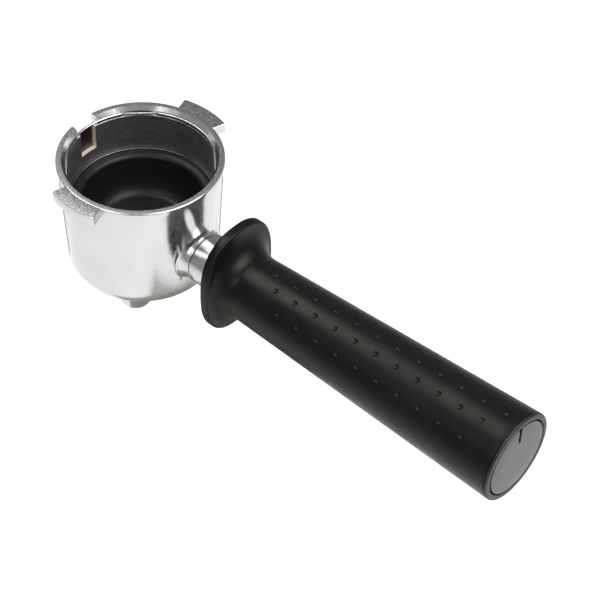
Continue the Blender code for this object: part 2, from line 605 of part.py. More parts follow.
def add_handle_end(plastic, ring_finish, disc_finish, rubber):
    spigot_x = CORE_END_X + GAP - PLUG_LENGTH
    flange_x = CORE_END_X + GAP
    groove_x = flange_x - PLUG_LENGTH / 2
    groove_half = SEAL_WIRE / 2 + GAP
    groove_radius = PLUG_RADIUS - SEAL_WIRE
    plug_bore = groove_radius - PLUG_WALL / 2
    turned_x("end_plug",
             [(spigot_x, plug_bore), (spigot_x, PLUG_RADIUS),
              (groove_x - groove_half, PLUG_RADIUS), (groove_x - groove_half, groove_radius),
              (groove_x + groove_half, groove_radius), (groove_x + groove_half, PLUG_RADIUS),
              (flange_x, PLUG_RADIUS), (flange_x, DISC_RADIUS - RING_SKIRT_WALL),
              (PLUG_FACE_X, DISC_RADIUS - RING_SKIRT_WALL), (PLUG_FACE_X, 0),
              (flange_x, 0), (flange_x, plug_bore)], plastic)
    seal_reach = groove_radius + GAP + SEAL_WIRE / 2
    turned_x("plug_seal",
             arc((groove_x, seal_reach), SEAL_WIRE / 2, 0, 2 * pi, 6)[:-1], rubber, steps=24)

    skirt_x = GRIP_END_X - RING_SKIRT
    skirt_inner = DISC_RADIUS + GAP
    skirt_outer = skirt_inner + RING_SKIRT_WALL
    turned_x("end_ring",
             [(skirt_x, skirt_inner), (skirt_x, skirt_outer),
              (GRIP_END_X + GAP, skirt_outer), (GRIP_END_X + GAP, GRIP_END_RADIUS),
              (RING_FACE_X - GUARD_EDGE / 2, GRIP_END_RADIUS),
              (RING_FACE_X, GRIP_END_RADIUS - GUARD_EDGE / 2), (RING_FACE_X, skirt_inner)],
             ring_finish, steps=40)

    disc_x = PLUG_FACE_X + GAP
    face_x = RING_FACE_X + DISC_PROUD
    disc = turned_x("end_disc",
                    [(disc_x, 0), (disc_x, DISC_RADIUS), (face_x - DISC_PROUD / 2, DISC_RADIUS),
                     (face_x, DISC_RADIUS - DISC_PROUD / 2), (face_x, 0)], disc_finish, steps=40)
    notch_tip = DISC_RADIUS - DISC_NOTCH
    outline = [(-DISC_NOTCH_WIDTH / 2, DISC_RADIUS + DISC_NOTCH),
               (DISC_NOTCH_WIDTH / 2, DISC_RADIUS + DISC_NOTCH), (0, notch_tip)]
    wedge = loft([[(x, y, HANDLE_Z + z) for y, z in outline]
                  for x in (face_x - DISC_NOTCH_WIDTH, face_x + FLOOR)])
    shape_with(disc, helper("disc_notch_cut", wedge), "DIFFERENCE")


def main():
    clear_scene()
    chrome = material("polished_chrome", (0.80, 0.80, 0.81), 0.08, 1.0)
    steel = material("spring_steel", (0.60, 0.59, 0.57), 0.25, 1.0)
    zinc = material("zinc_plated_steel", (0.55, 0.55, 0.53), 0.35, 1.0)
    black_moulding = material("black_moulding", (0.012, 0.012, 0.013), 0.45, 0.0)
    soft_touch = material("soft_touch_black", (0.016, 0.015, 0.014), 0.5, 0.0)
    core_plastic = material("core_plastic", (0.03, 0.03, 0.03), 0.5, 0.0)
    seal_rubber = material("seal_rubber", (0.02, 0.02, 0.02), 0.7, 0.0)
    ring_grey = material("ring_dark_grey", (0.11, 0.105, 0.10), 0.45, 0.0)
    disc_grey = material("disc_satin_grey", (0.27, 0.265, 0.255), 0.4, 0.0)

    add_cup(chrome)
    add_spring(steel)
    add_insert(black_moulding, seal_rubber)
    add_spout(chrome, zinc, seal_rubber)
    add_neck(chrome, zinc, seal_rubber)
    add_grip(soft_touch, core_plastic)
    add_clamp(zinc)
    add_handle_end(core_plastic, ring_grey, disc_grey, seal_rubber)


main()
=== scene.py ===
"""A portafilter for a 54 mm group: chromed cup, lift-out bowl insert, twin spout and a
soft-touch handle, modelled over its CAD frame. Metres, +Z up, handle along +X."""

from math import acos, atan2, cos, pi, radians, sin, sqrt

import bpy
from mathutils import Matrix, Vector


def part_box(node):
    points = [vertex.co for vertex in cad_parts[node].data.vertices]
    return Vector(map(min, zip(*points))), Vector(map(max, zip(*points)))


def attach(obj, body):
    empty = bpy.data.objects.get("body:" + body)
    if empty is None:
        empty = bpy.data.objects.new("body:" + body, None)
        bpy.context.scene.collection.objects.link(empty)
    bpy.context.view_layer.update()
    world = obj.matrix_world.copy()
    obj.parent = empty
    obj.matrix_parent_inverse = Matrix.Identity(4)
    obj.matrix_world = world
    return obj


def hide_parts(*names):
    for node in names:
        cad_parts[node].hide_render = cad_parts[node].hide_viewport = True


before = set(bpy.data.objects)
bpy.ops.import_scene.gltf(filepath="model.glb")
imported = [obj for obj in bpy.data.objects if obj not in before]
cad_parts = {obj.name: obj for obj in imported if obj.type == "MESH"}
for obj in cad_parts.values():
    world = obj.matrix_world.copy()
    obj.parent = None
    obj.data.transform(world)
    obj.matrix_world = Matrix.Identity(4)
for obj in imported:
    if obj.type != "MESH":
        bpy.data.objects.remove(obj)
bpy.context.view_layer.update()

MM = 0.001

# ---- places taken from the frame ---------------------------------------------------------

cup_low, cup_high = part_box("cup_body")
spout_low, spout_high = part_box("twin_spout")
bowl_low, bowl_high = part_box("bowl_insert")
gasket_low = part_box("neck_gasket")[0]
collar_low, collar_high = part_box("neck_collar")
sleeve_low, sleeve_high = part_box("grip_sleeve")
ring_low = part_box("end_ring")[0]
disc_low, disc_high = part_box("end_disc")
wire_low, wire_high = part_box("retaining_spring")

CUP_DEPTH = cup_high.z - cup_low.z
LUG_RADIUS = cup_high.y - 0.005 * MM
BOSS_END = cup_high.x
HANDLE_Z = (collar_high.z + collar_low.z) / 2
GRIP_X = sleeve_low.x
GRIP_END_X = disc_high.x - 1.2 * MM   # the skin runs on to the ring's rounded edge
GUARD_HALF_WIDTH = sleeve_high.y
GUARD_HALF_HEIGHT = (sleeve_high.z - sleeve_low.z) / 2
GUARD_RAISE = (sleeve_high.z + sleeve_low.z) / 2 - HANDLE_Z

# ---- the maker's sizes -------------------------------------------------------------------

BORE_RADIUS = 28.4 * MM
RIM_RADIUS = 32.0 * MM
RIM_BAND = 2.4 * MM
WALL_TOP_RADIUS = 31.5 * MM
WALL_LOW_RADIUS = 29.6 * MM
CUP_CORNER = 7.6 * MM
FLOOR = 3.0 * MM
FLOOR_HOLE = 4.3 * MM
BORE_MOUTH = 29.8 * MM          # radius where the bore's chamfer meets the rim's face
SEAT_RADIUS = 27.4 * MM
SEAT_Z = -19.9 * MM
LEDGE_Z = -23.3 * MM
WELL_RADIUS = 25.8 * MM
WELL_CORNER = 7.0 * MM
GROOVE_TOP = 1.7 * MM
GROOVE_LOW = 3.8 * MM
GROOVE_RADIUS = 29.875 * MM
FLAT_RADIUS = 27.6 * MM         # how near the wire's flats come to the axis
LUG_HALF_ANGLE = radians(16.8)
LUG_HEIGHT = 4.6 * MM
LUG_LINE = 0.12 * MM            # how far the lugs' tops are below the rim's face
LUG_EDGE = 0.5 * MM
NOTCH_WIDTH = 10.34 * MM
NOTCH_Z = -3.95 * MM
POCKET_WIDTH = 7.8 * MM
POCKET_RADIUS = 30.1 * MM
POCKET_LOW = -14.75 * MM
BOSS_RADIUS = 9.8 * MM
NECK_JOINT_X = (gasket_low.x + collar_low.x) / 2 + 0.1 * MM
NECK_LINE = 0.5 * MM            # of the gasket, seen between the boss and the collar
STUD_BORE = 4.35 * MM
PIN_BORE = 1.55 * MM
PIN_OFFSET = 6.7 * MM
GRIP_START_RADIUS = 12.9 * MM
GRIP_END_RADIUS = 17.75 * MM
GUARD_THICK = 4.0 * MM
GUARD_EDGE = 0.9 * MM
GUARD_FILLET = 8.0 * MM
GUARD_POWER = 2.5


# ---- modelling ---------------------------------------------------------------------------

def pick(piece):
    """Make one piece the only selected and the active one."""
    bpy.ops.object.select_all(action="DESELECT")
    piece.select_set(True)
    bpy.context.view_layer.objects.active = piece


def close_up():
    """Fill the open ends of the mesh in hand, face it outward and leave edit mode."""
    bpy.ops.mesh.select_all(action="SELECT")
    bpy.ops.mesh.fill_holes(sides=0)
    bpy.ops.mesh.select_all(action="SELECT")
    bpy.ops.mesh.normals_make_consistent(inside=False)
    bpy.ops.object.mode_set(mode="OBJECT")


def turned(name, outline, steps, along_x=False):
    """A circle extruded and scaled ring by ring through (distance, radius) points.
    Ends left open are filled; an outline that returns to its start closes on itself."""
    bpy.ops.object.select_all(action="DESELECT")
    reach, radius = outline[0]
    bpy.ops.mesh.primitive_circle_add(vertices=steps, radius=radius, location=(0, 0, reach))
    bpy.ops.object.transform_apply()
    bpy.ops.object.mode_set(mode="EDIT")
    bpy.ops.mesh.select_all(action="SELECT")
    for next_reach, next_radius in outline[1:]:
        bpy.ops.mesh.extrude_edges_move(
            TRANSFORM_OT_translate={"value": (0, 0, next_reach - reach)})
        share = next_radius / radius
        bpy.ops.transform.resize(value=(share, share, 1), center_override=(0, 0, next_reach))
        reach, radius = next_reach, next_radius
    bpy.ops.mesh.select_all(action="SELECT")
    bpy.ops.mesh.remove_doubles(threshold=1e-6)
    close_up()
    piece = bpy.context.object
    piece.name = name
    if along_x:
        piece.rotation_euler = (0, pi / 2, 0)
        piece.location = (0, 0, HANDLE_Z)
        bpy.ops.object.transform_apply()
    return piece


def block(name, low, high):
    """A box between two corners, for cutting."""
    bpy.ops.object.select_all(action="DESELECT")
    centre = [(a + b) / 2 for a, b in zip(low, high)]
    bpy.ops.mesh.primitive_cube_add(size=1, location=centre)
    piece = bpy.context.object
    piece.name = name
    piece.scale = [b - a for a, b in zip(low, high)]
    bpy.ops.object.transform_apply()
    return piece


def corner(centre_reach, centre_radius, radius, start, end, steps):
    """Points round a rounded corner of an outline; angle 0 points away from the axis."""
    turns = [radians(start + (end - start) * i / steps) for i in range(steps + 1)]
    return [(centre_reach + radius * sin(t), centre_radius + radius * cos(t)) for t in turns]


def apply_all(piece):
    """Apply every modifier on a piece."""
    pick(piece)
    for step in list(piece.modifiers):
        bpy.ops.object.modifier_apply(modifier=step.name)


def shape_with(piece, tool, operation):
    """Join a piece with a tool solid, or cut it, and throw the tool away."""
    step = piece.modifiers.new(tool.name, "BOOLEAN")
    step.operation = operation
    step.solver = "EXACT"
    step.object = tool
    apply_all(piece)
    bpy.data.objects.remove(tool)
    bpy.ops.object.mode_set(mode="EDIT")
    bpy.ops.mesh.select_all(action="SELECT")
    bpy.ops.mesh.remove_doubles(threshold=2e-6)
    bpy.ops.object.mode_set(mode="OBJECT")


def soften(piece, width, segments, angle):
    """Small round on every edge sharper than the angle."""
    step = piece.modifiers.new("soft_edges", "BEVEL")
    step.width = width
    step.segments = segments
    step.limit_method = "ANGLE"
    step.angle_limit = radians(angle)
    step.harden_normals = False
    apply_all(piece)


def shade(piece, angle=30):
    """Smooth shading, broken at edges sharper than the angle."""
    pick(piece)
    bpy.ops.object.shade_smooth_by_angle(angle=radians(angle))


def place(piece, body, *finishes):
    """Give a finished piece its finishes, its moving body and its CAD node's place."""
    for each in finishes:
        piece.data.materials.append(each)
    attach(piece, body)
    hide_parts(piece.name.removesuffix("_visual"))


# ---- finishes ----------------------------------------------------------------------------

def paint(code):
    """sRGB hex as a linear colour."""
    parts = [int(code[i:i + 2], 16) / 255 for i in (1, 3, 5)]
    line = [p / 12.92 if p <= 0.04045 else ((p + 0.055) / 1.055) ** 2.4 for p in parts]
    return (*line, 1.0)


def add_node(tree, kind, inputs=None, **settings):
    """One node with its settings, its input values and the links into it."""
    made = tree.nodes.new(kind)
    for name, value in settings.items():
        setattr(made, name, value)
    for name, value in (inputs or {}).items():
        if isinstance(value, bpy.types.NodeSocket):
            tree.links.new(value, made.inputs[name])
        else:
            made.inputs[name].default_value = value
    return made


def new_finish(name, metal=False):
    """An empty material: its tree, its shader and the piece's own coordinates."""
    made = bpy.data.materials.new(name)
    made.use_nodes = True
    tree = made.node_tree
    shader = tree.nodes["Principled BSDF"]
    if metal:
        shader.inputs["Metallic"].default_value = 1.0
    where = add_node(tree, "ShaderNodeTexCoord").outputs["Object"]
    return made, tree, shader, where


def grain(tree, where, size, detail=2.0, roughness=0.5):
    """Noise whose features are the given size across."""
    return add_node(tree, "ShaderNodeTexNoise",
                    {"Vector": where, "Scale": 1 / size, "Detail": detail,
                     "Roughness": roughness}).outputs["Fac"]


def spread(tree, value, low, high, start=0.3, end=0.7):
    """A pattern's values from start to end, spread from low to high."""
    return add_node(tree, "ShaderNodeMapRange",
                    {"Value": value, "From Min": start, "From Max": end,
                     "To Min": low, "To Max": high}).outputs["Result"]


def blend(tree, share, first, second):
    """Two colours mixed by a share."""
    mixed = add_node(tree, "ShaderNodeMix", data_type="RGBA")
    tree.links.new(share, mixed.inputs["Factor"])
    mixed.inputs[6].default_value = first
    mixed.inputs[7].default_value = second
    return mixed.outputs[2]


def colours(tree, shader, share, first, second, entry="Base Color"):
    """Two sRGB colours, mixed by a share, for the shader."""
    tree.links.new(blend(tree, share, paint(first), paint(second)), shader.inputs[entry])


def gloss(tree, shader, pattern, low, high, *span):
    """Roughness from low to high over a pattern."""
    tree.links.new(spread(tree, pattern, low, high, *span), shader.inputs["Roughness"])


def relief(tree, shader, height, depth, strength):
    """Surface relief of a real depth from a pattern."""
    bump = add_node(tree, "ShaderNodeBump",
                    {"Height": height, "Distance": depth, "Strength": strength})
    tree.links.new(bump.outputs["Normal"], shader.inputs["Normal"])


def polished_chrome():
    """Bright nickel-chrome over a polished brass casting: near white, with the faint
    slow waves of a casting and a haze of fine wiping marks."""
    made, tree, shader, where = new_finish("polished_chrome", metal=True)
    cloud = grain(tree, where, 14 * MM, 3.0)
    colours(tree, shader, cloud, "#bebebf", "#cececf")
    haze = grain(tree, where, 2.2 * MM, 6.0, 0.65)
    gloss(tree, shader, haze, 0.14, 0.24)
    relief(tree, shader, grain(tree, where, 7 * MM, 1.0), 0.05 * MM, 0.5)
    return made


def turned_chrome():
    """Chrome over faces left as turned: satin grey, with a fine grit that is drawn
    about twice as coarse as it is."""
    made, tree, shader, where = new_finish("turned_chrome", metal=True)
    grit = grain(tree, where, 0.5 * MM, 2.0, 0.7)
    colours(tree, shader, spread(tree, grit, 0, 1, 0.38, 0.62), "#545454", "#acacab")
    gloss(tree, shader, grit, 0.36, 0.48)
    relief(tree, shader, grit, 0.02 * MM, 0.6)
    return made


def bored_wall(name, dark, light):
    """Chrome over the bored inside, with soft turning streaks, painted dark as a painted
    reflection of the black bowl. Darker still in the pocket's back and on the seat, as
    painted shade."""
    made, tree, shader, where = new_finish(name, metal=True)
    rings = add_node(tree, "ShaderNodeMapping", {"Vector": where, "Scale": (0.12, 0.12, 1)})
    streak = grain(tree, rings.outputs["Vector"], 0.5 * MM, 3.0, 0.6)
    colours(tree, shader, streak, dark, light)
    gloss(tree, shader, streak, 0.36, 0.48)
    return made


def painted_highlight_edges():
    """Milled sides of the pocket: matte from the cutter's chatter, warm, and painted pale as
    a painted highlight.
    """
    made, tree, shader, where = new_finish("milled_edges_painted_highlight", metal=True)
    chatter = grain(tree, where, 0.5 * MM)
    colours(tree, shader, chatter, "#e6e0d2", "#fbf7ec")
    gloss(tree, shader, chatter, 0.68, 0.8)
    return made


def spring_wire():
    """Drawn stainless spring wire: bright, slightly warm, with drawing lines."""
    made, tree, shader, where = new_finish("drawn_spring_wire", metal=True)
    lines = grain(tree, where, 0.4 * MM)
    colours(tree, shader, lines, "#c9c6c0", "#dedbd6")
    gloss(tree, shader, lines, 0.16, 0.28)
    return made


def zinc_plate():
    """Zinc-plated steel: pale grey with a soft spangle and a dull gloss."""
    made, tree, shader, where = new_finish("zinc_plated_steel", metal=True)
    cells = add_node(tree, "ShaderNodeTexVoronoi",
                     {"Vector": where, "Scale": 1 / (1.5 * MM)}).outputs["Color"]
    mixed = add_node(tree, "ShaderNodeSeparateColor", {"Color": cells}).outputs["Red"]
    colours(tree, shader, mixed, "#a6a7a5", "#bfc0be")
    gloss(tree, shader, mixed, 0.3, 0.45, 0.0, 1.0)
    return made


def moulded_nylon():
    """Black glass-filled nylon: deep black, semi-matte, with a fine orange-peel skin."""
    made, tree, shader, where = new_finish("black_moulded_nylon")
    peel = grain(tree, where, 0.6 * MM)
    colours(tree, shader, grain(tree, where, 9 * MM), "#0b0b0b", "#141414")
    gloss(tree, shader, peel, 0.36, 0.46)
    shader.inputs["Specular IOR Level"].default_value = 0.22
    relief(tree, shader, peel, 0.02 * MM, 0.5)
    return made


def soft_touch():
    """Soft-touch coated grip: black with a brown cast, a broad satin highlight and a
    fine leathery grain, rubbed a little glossier in broad soft patches."""
    made, tree, shader, where = new_finish("soft_touch_rubber")
    rub = grain(tree, where, 22 * MM)
    colours(tree, shader, rub, "#060505", "#0a0909")
    skin = grain(tree, where, 0.45 * MM, 3.0, 0.6)
    gloss(tree, shader, rub, 0.34, 0.43)
    shader.inputs["Specular IOR Level"].default_value = 0.18
    shader.inputs["Specular Tint"].default_value = paint("#fff8ee")
    relief(tree, shader, skin, 0.025 * MM, 0.5)
    return made


def moulded_plastic(name, dark, light, rough, peel_size):
    """Injection-moulded ABS or polypropylene with a spark-eroded texture."""
    made, tree, shader, where = new_finish(name)
    peel = grain(tree, where, peel_size, 3.0, 0.6)
    colours(tree, shader, peel, dark, light)
    gloss(tree, shader, peel, rough - 0.05, rough + 0.05)
    shader.inputs["Specular IOR Level"].default_value = 0.3
    relief(tree, shader, peel, 0.015 * MM, 0.5)
    return made


def seal_rubber():
    """Black nitrile rubber: dull, slightly bloomed grey."""
    made, tree, shader, where = new_finish("nitrile_seal_rubber")
    bloom = grain(tree, where, 1.8 * MM, 4.0)
    colours(tree, shader, bloom, "#0f0f0f", "#1b1b1b")
    gloss(tree, shader, bloom, 0.6, 0.75)
    return made


def reflection_card_grey(name, dark, light):
    """Matte grey card seen only in reflections: a painted reflection of shade."""
    made, tree, shader, where = new_finish(name)
    flock = grain(tree, where, 1 * MM)
    colours(tree, shader, flock, dark, light)
    shader.inputs["Roughness"].default_value = 0.9
    return made


def glowing_reflection_card(centre, size, turn):
    """White card that glows though it is no lamp, a little uneven, that fades out to its
    edges: a painted highlight seen only in the cup's chrome.
    """
    made, tree, shader, where = new_finish("glowing_white_card")
    uneven = grain(tree, where, 4 * MM)
    colours(tree, shader, uneven, "#e8e8e6", "#ffffff", "Emission Color")
    shader.inputs["Emission Strength"].default_value = 1.0
    local = add_node(tree, "ShaderNodeMapping",
                     {"Vector": where, "Location": centre, "Rotation": turn,
                      "Scale": (size[0] / 2, size[1] / 2, 1)}, vector_type="TEXTURE")
    glow = add_node(tree, "ShaderNodeTexGradient", {"Vector": local.outputs["Vector"]},
                    gradient_type="SPHERICAL").outputs["Fac"]
    tree.links.new(spread(tree, glow, 0, 1, 0, 0.45), shader.inputs["Alpha"])
    return made


def pale_paper():
    """Matte studio sweep: almost white, with a barely seen tooth."""
    made, tree, shader, where = new_finish("studio_sweep")
    tooth = grain(tree, where, 3 * MM)
    colours(tree, shader, tooth, "#f4f4f3", "#f8f8f8")
    shader.inputs["Roughness"].default_value = 0.9
    shader.inputs["Specular IOR Level"].default_value = 0.2
    return made


# ---- cup ---------------------------------------------------------------------------------

def cup_outside():
    """The cup's solid outside, from the rim's face down to the floor."""
    low_corner = (-CUP_DEPTH + CUP_CORNER, WALL_LOW_RADIUS - CUP_CORNER)
    bevel = 0.6 * MM
    band_edge, band_step = 0.2 * MM, 0.3 * MM
    outline = [(0, RIM_RADIUS / 3)]
    outline += corner(-bevel, RIM_RADIUS - bevel, bevel, 90, 0, 4)
    outline += [(-RIM_BAND + band_edge, RIM_RADIUS), (-RIM_BAND, RIM_RADIUS - band_edge),
                (-RIM_BAND - band_step, WALL_TOP_RADIUS)]
    wall_rings = 10
    for i in range(1, wall_rings + 1):
        share = i / wall_rings
        drop = (CUP_DEPTH - CUP_CORNER - RIM_BAND) * share
        outline.append((-RIM_BAND - drop,
                        WALL_TOP_RADIUS + (WALL_LOW_RADIUS - WALL_TOP_RADIUS) * share))
    outline += corner(*low_corner, CUP_CORNER, 0, -90, 12)[1:]
    outline += [(-CUP_DEPTH, FLOOR_HOLE / 2)]
    return turned("cup_body_visual", outline, 192)


def cup_inside():
    """The solid that the bore, the spring's groove, the seat and the well leave empty."""
    floor_z = FLOOR - CUP_DEPTH
    low_corner = (floor_z + WELL_CORNER, WELL_RADIUS - WELL_CORNER)
    lip_radius = BORE_RADIUS + 0.3 * MM
    slope = (BORE_MOUTH - lip_radius) / GROOVE_TOP
    above = 2 * MM
    edge = 0.15 * MM
    seat_edge = 0.07 * MM
    outline = [(above, BORE_MOUTH + slope * above), (-GROOVE_TOP, lip_radius),
               (-GROOVE_TOP, GROOVE_RADIUS), (-GROOVE_LOW, GROOVE_RADIUS),
               (-GROOVE_LOW, BORE_RADIUS + edge), (-GROOVE_LOW - edge, BORE_RADIUS)]
    outline += [(SEAT_Z, BORE_RADIUS), (SEAT_Z, SEAT_RADIUS + seat_edge),
                (SEAT_Z - seat_edge, SEAT_RADIUS), (LEDGE_Z, SEAT_RADIUS),
                (LEDGE_Z, WELL_RADIUS)]
    outline += corner(*low_corner, WELL_CORNER, 0, -90, 8)
    outline += [(floor_z, FLOOR_HOLE), (-CUP_DEPTH - above, FLOOR_HOLE)]
    return turned("cup_inside_tool", outline, 192)


def lug(middle):
    """One locking lug: a radial section spun along the rim, its edges rounded."""
    bpy.ops.object.select_all(action="DESELECT")
    root = (RIM_RADIUS + GROOVE_RADIUS) / 2
    bpy.ops.mesh.primitive_plane_add(size=1)
    section = bpy.context.object
    section.rotation_euler = (pi / 2, 0, 0)
    section.scale = (LUG_RADIUS - root, LUG_HEIGHT - LUG_LINE, 1)
    section.location = ((LUG_RADIUS + root) / 2, 0, -(LUG_HEIGHT + LUG_LINE) / 2)
    bpy.ops.object.transform_apply()
    section.rotation_euler = (0, 0, middle - LUG_HALF_ANGLE)
    bpy.ops.object.transform_apply()
    bpy.ops.object.mode_set(mode="EDIT")
    bpy.ops.mesh.select_all(action="SELECT")
    bpy.ops.mesh.spin(steps=24, angle=-2 * LUG_HALF_ANGLE,
                      center=(0, 0, 0), axis=(0, 0, 1))
    close_up()
    soften(section, LUG_EDGE, 3, 40)
    return section


def pilaster():
    """The column under the rim that carries the boss: round-fronted, narrowing down."""
    top_z = -RIM_BAND / 2
    face_x = RIM_RADIUS - 0.1 * MM
    top_radius, low_radius = 26.2 * MM, 17.3 * MM
    top_centre, low_centre = face_x - top_radius, face_x - low_radius
    bpy.ops.object.select_all(action="DESELECT")
    bpy.ops.mesh.primitive_circle_add(vertices=160, radius=top_radius,
                                      location=(top_centre, 0, top_z))
    column = bpy.context.object
    bpy.ops.object.transform_apply()
    bpy.ops.object.mode_set(mode="EDIT")
    bpy.ops.mesh.select_all(action="SELECT")
    rings = 6
    drop = (HANDLE_Z - top_z) / rings
    centre, radius = top_centre, top_radius
    for i in range(rings):
        next_radius = top_radius + (low_radius - top_radius) * (i + 1) / rings
        next_centre = top_centre + (low_centre - top_centre) * (i + 1) / rings
        bpy.ops.mesh.extrude_edges_move(
            TRANSFORM_OT_translate={"value": (next_centre - centre, 0, drop)})
        share = next_radius / radius
        bpy.ops.transform.resize(value=(share, share, 1),
                                 center_override=(next_centre, 0, HANDLE_Z))
        centre, radius = next_centre, next_radius
    close_up()
    return column


def boss():
    """Round boss that the collar bolts to, swept out of the cup's wall in a fillet that
    is deepest on top."""
    edge = 0.2 * MM
    end_x = NECK_JOINT_X - NECK_LINE / 2
    root_x = WALL_LOW_RADIUS - 1.2 * MM
    deep, tall = end_x - root_x - edge, 5.5 * MM
    turns = [pi / 2 * i / 14 for i in range(15)]
    rooted = 4 * MM
    outline = [(root_x - rooted, BOSS_RADIUS + tall)]
    outline += [(root_x + deep * (1 - cos(t)), BOSS_RADIUS + tall * (1 - sin(t)))
                for t in turns]
    outline += corner(end_x - edge, BOSS_RADIUS - edge, edge, 0, 90, 3)[1:]
    tool = turned("boss_tool", outline, 128, along_x=True)
    least = 0.35
    for point in tool.data.vertices:
        across, up = point.co.y, point.co.z - HANDLE_Z
        radius = sqrt(across ** 2 + up ** 2)
        if radius > BOSS_RADIUS:
            share = least + (1 - least) * max(up / radius, 0)
            scale = (BOSS_RADIUS + (radius - BOSS_RADIUS) * share) / radius
            point.co.y = across * scale
            point.co.z = HANDLE_Z + up * scale
    return tool


# the cup's finishes, in the order in which they are placed on it
POLISHED, AS_TURNED, BORE, MILLED_HIGHLIGHT, PAINTED_SHADE = range(5)


def dress_cup(cup):
    """Finish by face: rim and lug tops and the seat's edge as turned, the bore dark as a
    painted reflection, the pocket's sides milled and painted pale as a painted highlight,
    and the seat and the pocket's back painted darker than the bore as painted shade."""
    near = 0.1 * MM
    for face in cup.data.polygons:
        level = face.normal.z > 0.95 and face.center.z > -2 * LUG_LINE
        radius = sqrt(face.center.x ** 2 + face.center.y ** 2)
        bore = radius < BORE_RADIUS + near and -CUP_DEPTH < face.center.z < -GROOVE_LOW
        step = bore and face.normal.z > 0.5 and face.center.z > SEAT_Z - MM
        step_edge = step and face.normal.z < 0.9
        pocket = (face.center.x < 0 and abs(face.center.y) < POCKET_WIDTH / 2 + near
                  and BORE_RADIUS < radius < POCKET_RADIUS + 0.5 * MM
                  and POCKET_LOW - near < face.center.z < -GROOVE_LOW)
        back = face.normal.x > 0.7
        if level or step_edge:
            face.material_index = AS_TURNED
        elif step or pocket and back:
            # painted shade: the seat and the pocket's back are painted darker than the bore
            face.material_index = PAINTED_SHADE
        elif bore:
            # painted reflection: the bore's chrome is painted dark
            face.material_index = BORE
        elif pocket:
            # painted highlight: the pocket's milled sides are painted pale
            face.material_index = MILLED_HIGHLIGHT
        else:
            face.material_index = POLISHED


def model_cup(*finishes):
    """The cup with its column, boss and lugs, bored and drilled."""
    stud_depth, pin_depth = 5.7 * MM, 4.3 * MM
    cup = cup_outside()
    shape_with(cup, pilaster(), "UNION")
    shape_with(cup, boss(), "UNION")
    for middle in (pi / 2, -pi / 2):
        shape_with(cup, lug(middle), "UNION")
    beyond = 2 * MM
    inside = cup_inside()
    shape_with(inside, block("notch_tool", (-LUG_RADIUS, -NOTCH_WIDTH / 2, NOTCH_Z),
                             (-BORE_RADIUS / 2, NOTCH_WIDTH / 2, beyond / 2)), "UNION")
    shape_with(inside, block("pocket_tool", (-POCKET_RADIUS, -POCKET_WIDTH / 2, POCKET_LOW),
                             (-BORE_RADIUS / 2, POCKET_WIDTH / 2, -GROOVE_TOP - MM)),
               "UNION")
    shape_with(cup, inside, "DIFFERENCE")
    socket = turned("socket_tool", [(BOSS_END - stud_depth, STUD_BORE),
                                    (BOSS_END + beyond, STUD_BORE)], 48, along_x=True)
    shape_with(cup, socket, "DIFFERENCE")
    shape_with(cup, pin_drill(BOSS_END - pin_depth, BOSS_END + beyond), "DIFFERENCE")
    shade(cup, 28)
    place(cup, "holder", *finishes)
    dress_cup(cup)


def pin_drill(start, end):
    """The locating pin's hole, above the stud."""
    drill = turned("pin_tool", [(start, PIN_BORE), (end, PIN_BORE)], 24, along_x=True)
    drill.data.transform(Matrix.Translation((0, 0, PIN_OFFSET)))
    return drill


def model_spring(steel):
    """Round wire ring with four straight flats, open opposite the notch."""
    wire = (wire_high.z - wire_low.z) / 2
    ring_radius = wire_high.y - wire
    flat_reach = FLAT_RADIUS + wire
    gap = radians(7)
    bpy.ops.object.select_all(action="DESELECT")
    bpy.ops.mesh.primitive_torus_add(major_radius=ring_radius, minor_radius=wire,
                                     major_segments=360, minor_segments=16,
                                     location=(0, 0, (wire_high.z + wire_low.z) / 2))
    spring = bpy.context.object
    spring.name = "retaining_spring_visual"
    bpy.ops.object.transform_apply()
    bpy.ops.object.mode_set(mode="EDIT")
    bpy.ops.mesh.select_all(action="DESELECT")
    bpy.ops.object.mode_set(mode="OBJECT")
    for point in spring.data.vertices:
        angle = atan2(point.co.y, point.co.x)
        nearest = (angle % (pi / 2)) - pi / 4
        radius = min(ring_radius, flat_reach / cos(nearest))
        shift = radius - ring_radius
        point.co.x += shift * cos(angle)
        point.co.y += shift * sin(angle)
        point.select = abs(angle) < gap / 2
    bpy.ops.object.mode_set(mode="EDIT")
    bpy.ops.mesh.delete(type="VERT")
    close_up()
    shade(spring)
    place(spring, "holder", steel)


# ---- insert ------------------------------------------------------------------------------

def model_insert(nylon):
    """The bowl: a rounded well, a rolled lip with a flange and a drain neck."""
    top, radius = bowl_high.z, bowl_high.y
    flange = 1.6 * MM
    floor_z, under_z = -36.6 * MM, -38.5 * MM
    floor_radius = 16.8 * MM
    wall = 1.9 * MM
    lip = 23.5 * MM
    drain, drain_wall = 3.0 * MM, 1.6 * MM
    edge = 0.3 * MM
    steps = 14
    turns = [pi / 2 * i / steps for i in range(steps + 1)]
    inner = [(floor_z + (top - floor_z) * (1 - cos(t)),
              floor_radius + (lip - floor_radius) * sin(t)) for t in turns]
    outer = [(under_z + (top - flange - under_z) * (1 - cos(t)),
              floor_radius + (lip + wall - floor_radius) * sin(t)) for t in turns]
    roll = radius - lip - edge
    drop = 2.2 * MM
    floor_ring = 10 * MM
    outline = [(floor_z - edge, drain), (floor_z, drain + edge),
               (floor_z, floor_ring)]
    outline += [(z, r) for z, r in inner if z < top - drop]
    outline += [(top - drop * (1 - sin(t)), lip + roll * (1 - cos(t))) for t in turns[::2]]
    outline += [(top - edge, radius), (top - flange, radius)]
    outline += outer[::-1]
    outline += [(under_z, drain + drain_wall), (bowl_low.z, drain + drain_wall),
                (bowl_low.z, drain), (floor_z - edge, drain)]
    insert = turned("bowl_insert_visual", outline, 160)
    shade(insert, 35)
    place(insert, "insert", nylon)


# ---- spout -------------------------------------------------------------------------------

